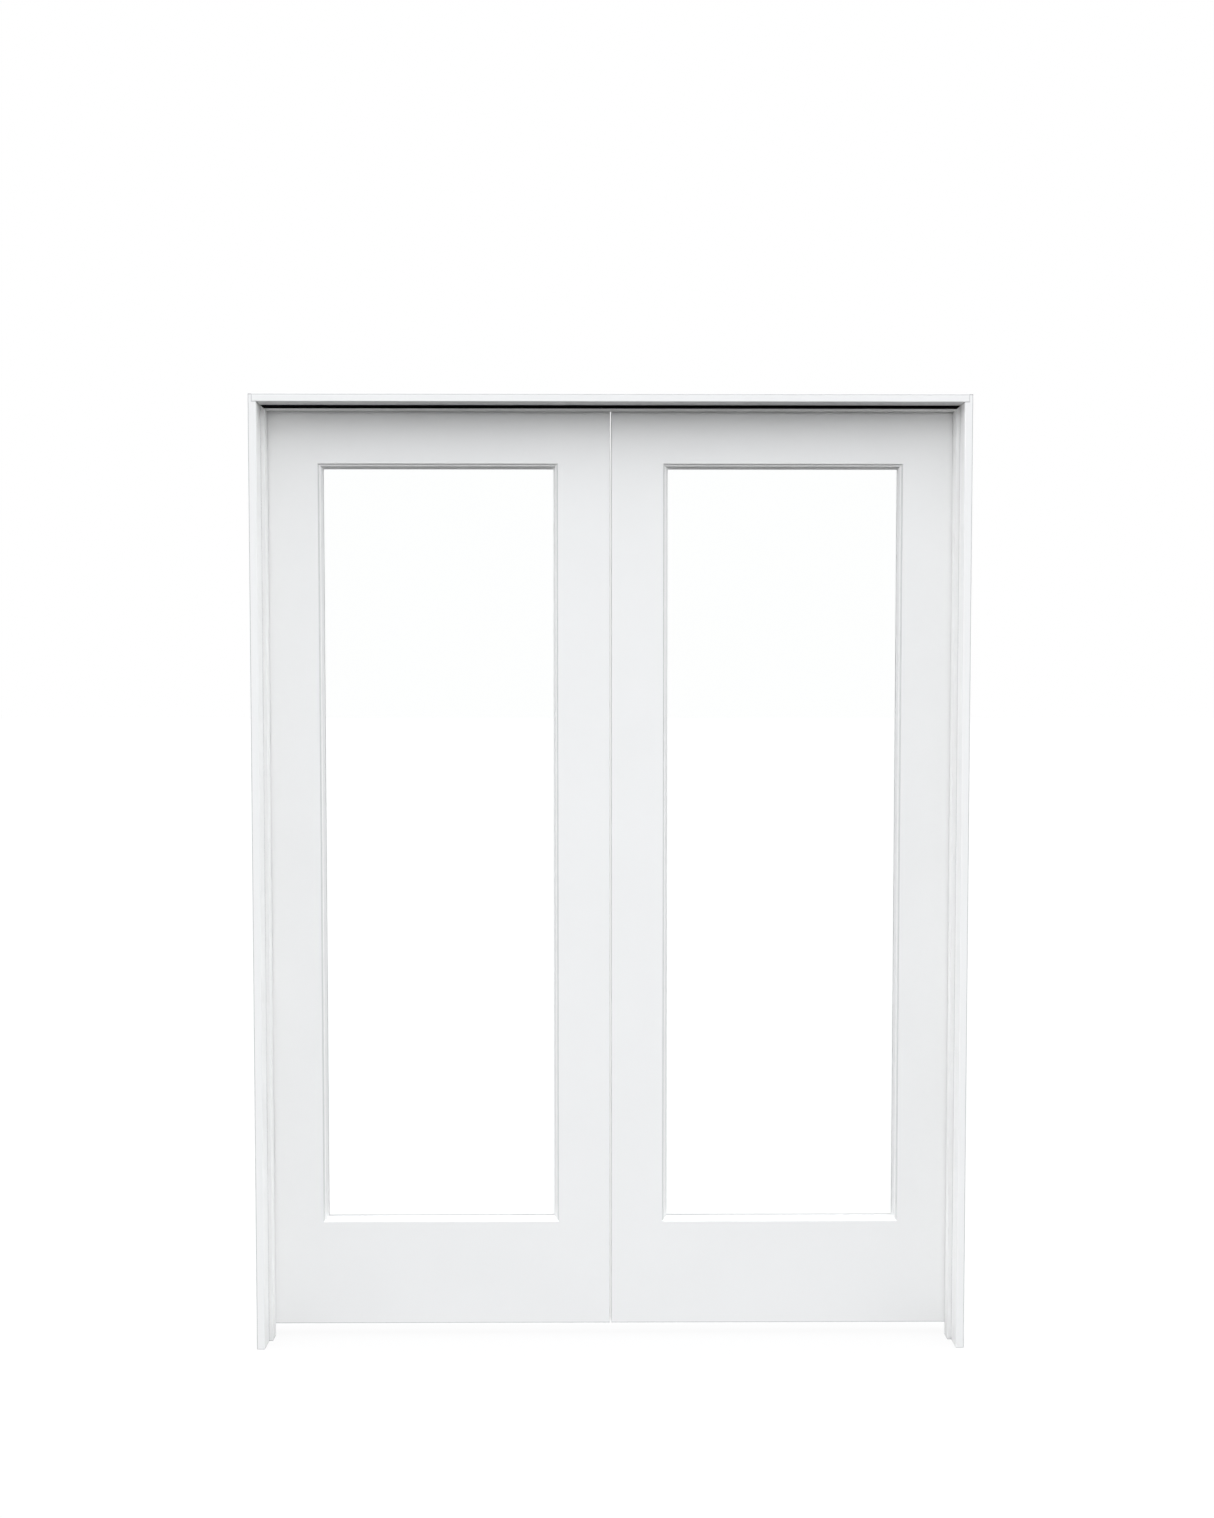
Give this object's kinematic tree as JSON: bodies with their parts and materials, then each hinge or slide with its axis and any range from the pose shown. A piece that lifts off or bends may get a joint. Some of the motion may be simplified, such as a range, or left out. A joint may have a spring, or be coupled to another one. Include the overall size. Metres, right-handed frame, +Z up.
{
  "type": "french doors",
  "caption": "Pair of white glazed doors hung on butt hinges in a flat timber frame with mitred stops, closed by ball catches at the head.",
  "frame": {"origin": "floor level, middle of the frame's width, middle of the jambs' depth", "axes": "+Z up, +X to the right seen from the stop side, +Y through the wall towards the side the leaves open to"},
  "size_m": [1.554, 0.1377, 2.08],
  "materials": {
    "paint": "white primer, eggshell",
    "seal": "matt black",
    "glass": "clear float",
    "tape": "pale grey, matt",
    "bare_wood": "bare beech",
    "hinge_metal": "satin nickel",
    "screw_metal": "satin nickel",
    "catch_metal": "satin nickel"
  },
  "bodies": {
    "frame": {"head_jamb": "paint", "head_stop": "paint", "head_seal": "seal", "head_screws": "screw_metal", "jamb_hinge_screws": "screw_metal", "strike_screws": "screw_metal", "left_jamb": "paint", "left_stop": "paint", "left_catch_strike": "catch_metal", "left_top_hinge_jamb_leaf": "hinge_metal", "left_top_hinge_pin": "hinge_metal", "left_middle_hinge_jamb_leaf": "hinge_metal", "left_middle_hinge_pin": "hinge_metal", "left_bottom_hinge_jamb_leaf": "hinge_metal", "left_bottom_hinge_pin": "hinge_metal", "right_jamb": "paint", "right_stop": "paint", "right_catch_strike": "catch_metal", "right_top_hinge_jamb_leaf": "hinge_metal", "right_top_hinge_pin": "hinge_metal", "right_middle_hinge_jamb_leaf": "hinge_metal", "right_middle_hinge_pin": "hinge_metal", "right_bottom_hinge_jamb_leaf": "hinge_metal", "right_bottom_hinge_pin": "hinge_metal"},
    "left_door": {"left_hinge_stile": "paint", "left_meeting_stile": "paint", "left_top_rail": "paint", "left_bottom_rail": "paint", "left_rail_dowels": "bare_wood", "left_glass": "glass", "left_glazing_tape": "tape", "left_door_hinge_screws": "screw_metal", "left_catch_barrel": "catch_metal", "left_catch_spring": "catch_metal", "left_hinge_side_bead": "paint", "left_meeting_side_bead": "paint", "left_top_bead": "paint", "left_bottom_bead": "paint", "left_top_hinge_door_leaf": "hinge_metal", "left_middle_hinge_door_leaf": "hinge_metal", "left_bottom_hinge_door_leaf": "hinge_metal"},
    "left_ball": {"left_catch_ball": "catch_metal"},
    "right_door": {"right_hinge_stile": "paint", "right_meeting_stile": "paint", "right_top_rail": "paint", "right_bottom_rail": "paint", "right_rail_dowels": "bare_wood", "right_glass": "glass", "right_glazing_tape": "tape", "right_door_hinge_screws": "screw_metal", "right_catch_barrel": "catch_metal", "right_catch_spring": "catch_metal", "right_hinge_side_bead": "paint", "right_meeting_side_bead": "paint", "right_top_bead": "paint", "right_bottom_bead": "paint", "right_top_hinge_door_leaf": "hinge_metal", "right_middle_hinge_door_leaf": "hinge_metal", "right_bottom_hinge_door_leaf": "hinge_metal"},
    "right_ball": {"right_catch_ball": "catch_metal"}
  },
  "joints": [
    {"name": "left_door_hinge", "type": "hinge", "parent": "frame", "child": "left_door", "pos_m": [-0.758, 0.074, 0], "axis": [0, 0, 1], "range_deg": [0, 180]},
    {"name": "right_door_hinge", "type": "hinge", "parent": "frame", "child": "right_door", "pos_m": [0.758, 0.074, 0], "axis": [0, 0, -1], "range_deg": [0, 180]},
    {"name": "left_ball_slide", "type": "slide", "parent": "left_door", "child": "left_ball", "axis": [0, 0, 1], "range_m": [-0.004, 0], "stiffness_N_per_m": 800, "springref_m": 0.002, "deforming": ["left_catch_spring"]},
    {"name": "right_ball_slide", "type": "slide", "parent": "right_door", "child": "right_ball", "axis": [0, 0, 1], "range_m": [-0.004, 0], "stiffness_N_per_m": 800, "springref_m": 0.002, "deforming": ["right_catch_spring"]}
  ]
}
